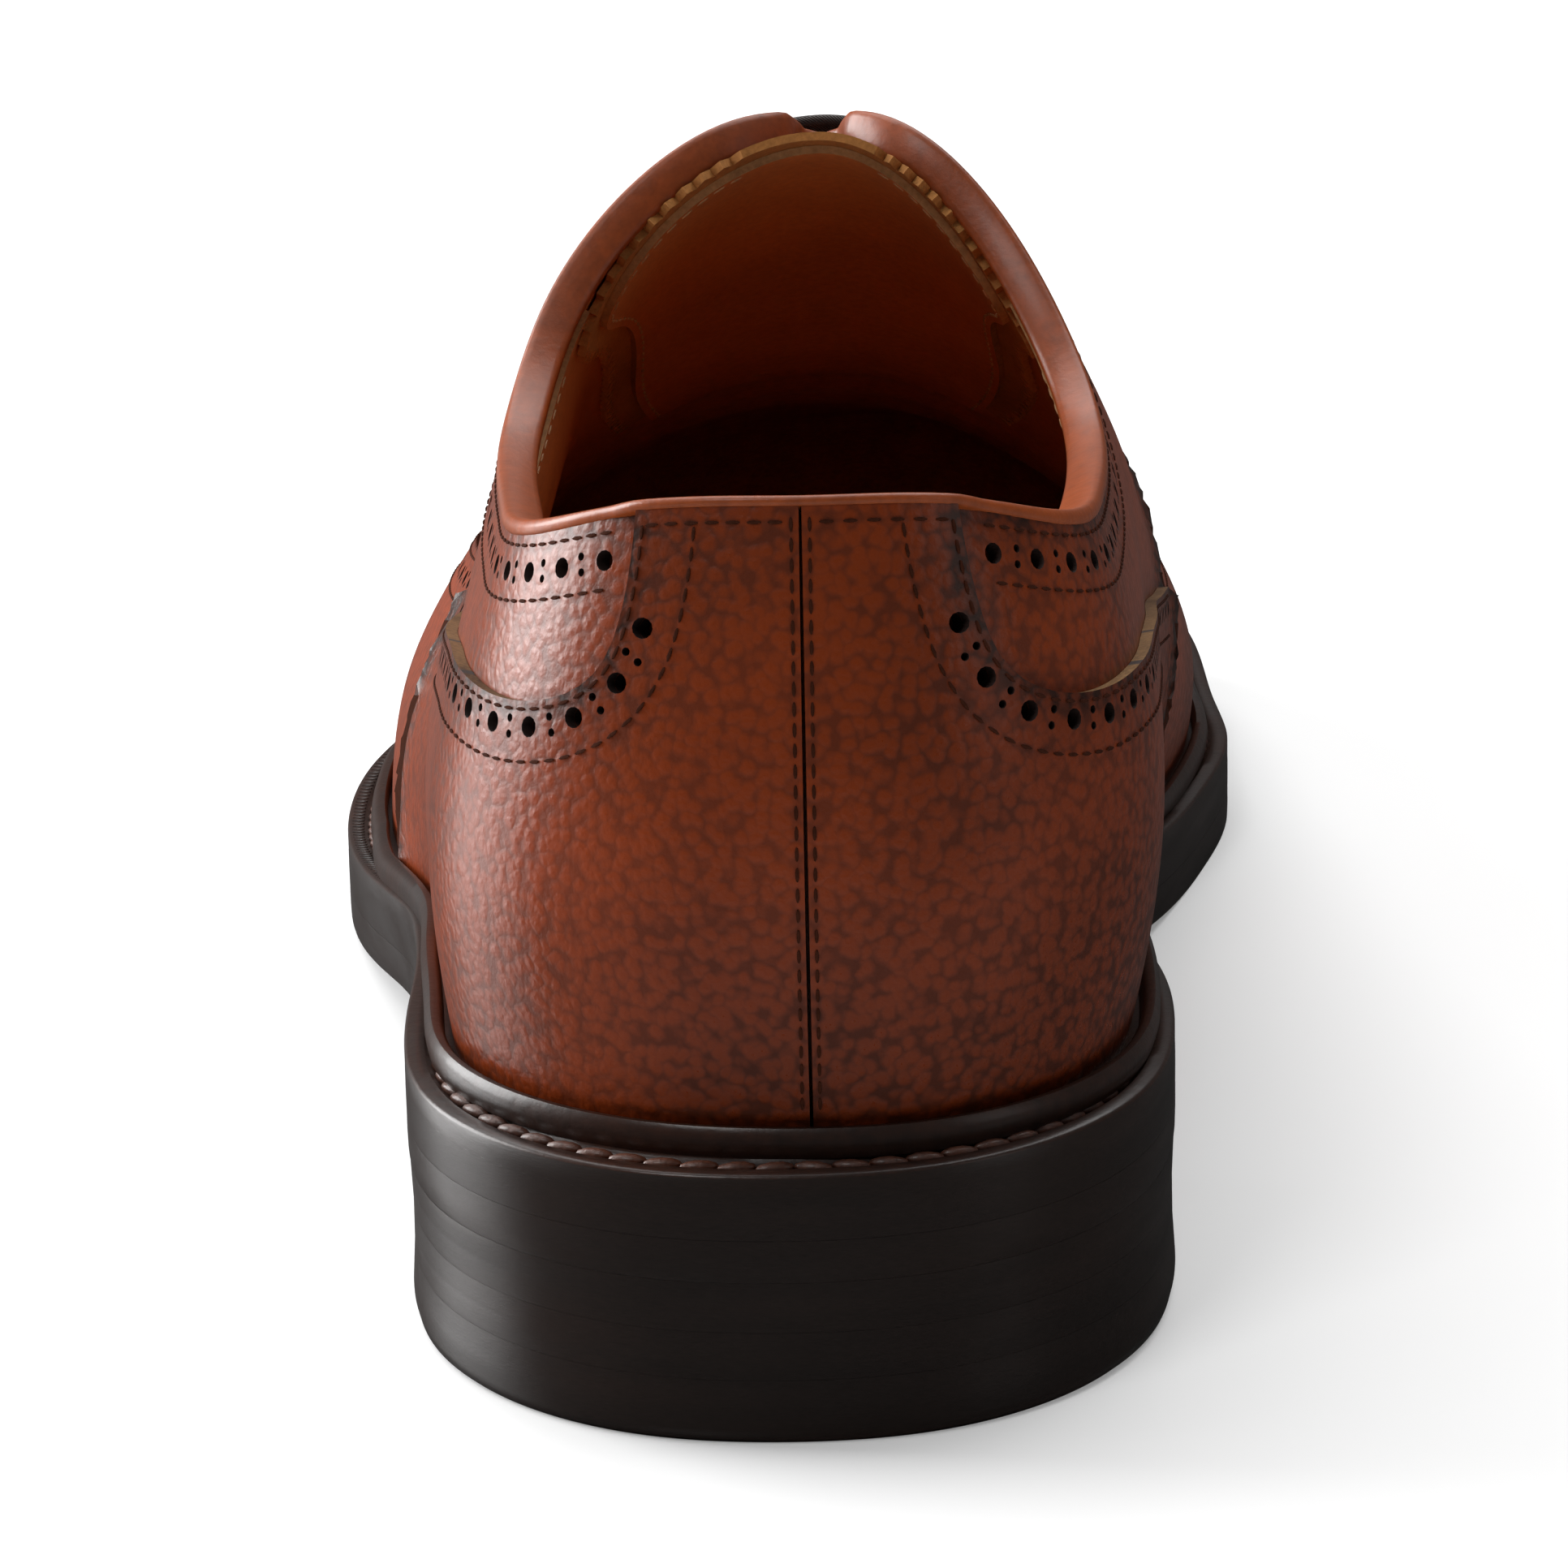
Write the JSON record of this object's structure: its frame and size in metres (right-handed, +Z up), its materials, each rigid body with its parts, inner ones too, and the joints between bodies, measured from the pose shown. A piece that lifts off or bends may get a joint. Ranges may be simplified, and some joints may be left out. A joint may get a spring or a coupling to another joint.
{
  "type": "longwing brogue shoe",
  "caption": "Leather derby shoe with long wing overlays, storm welt, stacked heel, tongue and barred laces, standing empty on its sole.",
  "frame": {"origin": "centre of the bounding box's bottom face, on the ground under the shoe", "axes": "+Z up from the ground, +Y from heel to toe, +X towards the inner side of the left foot"},
  "size_m": [0.1124, 0.3058, 0.11],
  "materials": {
    "upper_leather": "pebble-grained chestnut calf, polished",
    "overlay_leather": "pebble-grained chestnut calf, polished, with punched holes and raw gimped edges",
    "tongue_leather": "chestnut calf, lined, with a pinked top edge",
    "lining_leather": "smooth tan lining leather, matt",
    "welt_leather": "dark brown waxed welt leather",
    "sole_leather": "black-brown burnished sole edge, glossy",
    "top_piece_rubber": "dark rubber top piece, satin",
    "lace_cotton": "dark brown waxed cotton lace"
  },
  "bodies": {
    "root": {"upper": "upper_leather", "quarter_lateral": "upper_leather", "quarter_medial": "upper_leather", "wing_tail_lateral": "overlay_leather", "wing_tail_medial": "overlay_leather", "wing_cap": "overlay_leather", "tongue": "tongue_leather", "insole": "lining_leather", "welt": "welt_leather", "midsole": "sole_leather", "outsole": "sole_leather", "heel_lift_upper": "sole_leather", "heel_lift_lower": "sole_leather", "top_lift": "top_piece_rubber", "lace_bar_1": "lace_cotton", "lace_bar_2": "lace_cotton", "lace_bar_3": "lace_cotton", "lace_bar_4": "lace_cotton", "lace_bar_5": "lace_cotton"}
  },
  "joints": []
}
